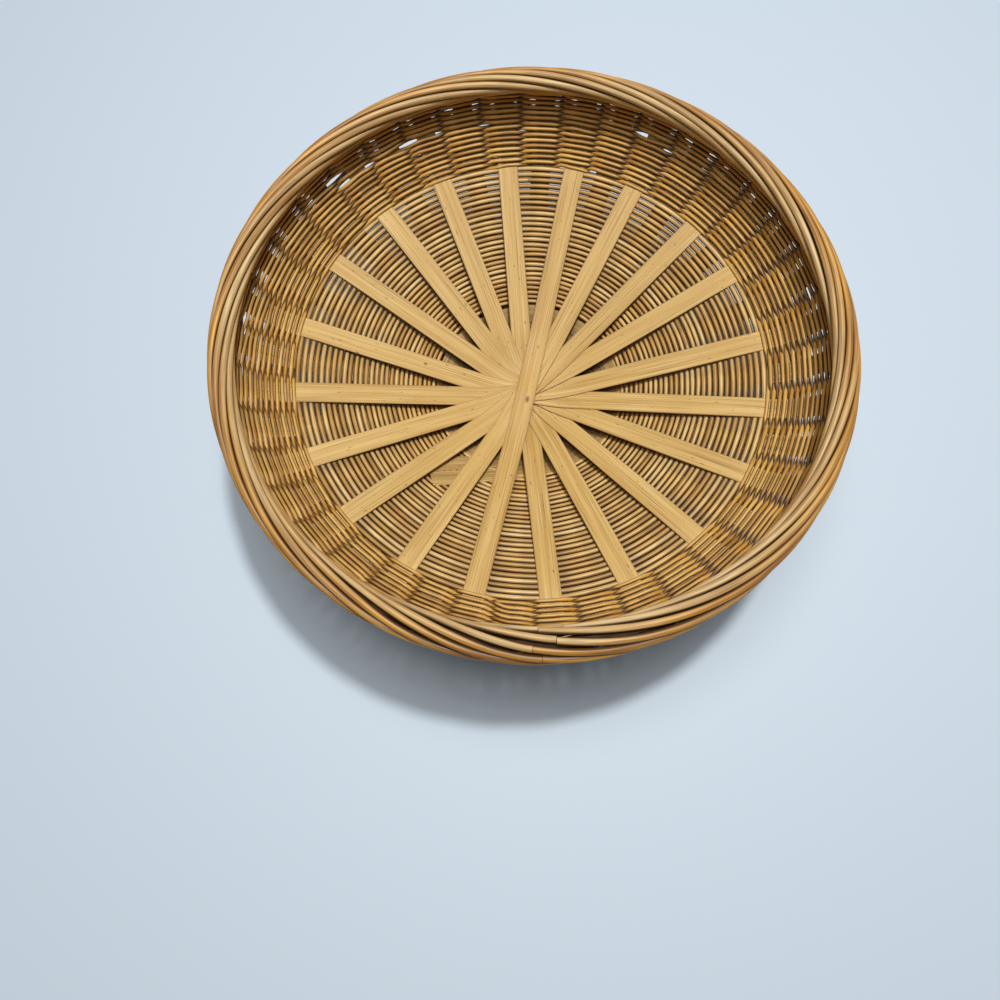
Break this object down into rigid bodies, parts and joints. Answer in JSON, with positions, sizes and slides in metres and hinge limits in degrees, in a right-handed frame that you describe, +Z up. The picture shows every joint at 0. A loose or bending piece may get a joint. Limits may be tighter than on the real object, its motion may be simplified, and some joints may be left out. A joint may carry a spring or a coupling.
{
  "type": "woven bamboo tray",
  "caption": "Round bowl-shaped tray of a tiered food basket: flat bamboo slats crossing as a fan, a fine reed weave for floor and wall, and a rim of twisted canes.",
  "frame": {"origin": "middle of the tray, on the surface that it stands on", "axes": "+Z up out of the bowl; -Y towards the place on the rim where the ends of the canes overlap"},
  "size_m": [0.2997, 0.2992, 0.0934],
  "materials": {
    "split_bamboo": "pale split bamboo with straight grain, satin",
    "thin_bamboo_strip": "brownish thin bamboo strip, matt",
    "round_reed": "fine round bamboo reed, satin",
    "hoop_cane": "plain cane, matt",
    "rim_cane": "amber cane with its natural gloss"
  },
  "bodies": {
    "root": {"top_slat_01": "split_bamboo", "top_slat_02": "split_bamboo", "top_slat_03": "split_bamboo", "top_slat_04": "split_bamboo", "top_slat_05": "split_bamboo", "top_slat_06": "split_bamboo", "top_slat_07": "split_bamboo", "top_slat_08": "split_bamboo", "top_slat_09": "split_bamboo", "top_slat_10": "split_bamboo", "base_slat_01": "split_bamboo", "base_slat_02": "split_bamboo", "base_slat_03": "split_bamboo", "base_slat_04": "split_bamboo", "base_slat_05": "split_bamboo", "base_slat_06": "split_bamboo", "base_slat_07": "split_bamboo", "base_slat_08": "split_bamboo", "base_slat_09": "split_bamboo", "base_slat_10": "split_bamboo", "locking_strip_inner": "thin_bamboo_strip", "locking_strip_outer": "thin_bamboo_strip", "floor_weave": "round_reed", "wall_weave": "round_reed", "rim_core": "hoop_cane", "rim_cane_1": "rim_cane", "rim_cane_2": "rim_cane", "rim_cane_3": "rim_cane", "rim_cane_4": "rim_cane", "rim_cane_5": "rim_cane", "rim_cane_6": "rim_cane", "rim_cane_7": "rim_cane", "rim_cane_8": "rim_cane", "rim_cane_9": "rim_cane"}
  },
  "joints": []
}
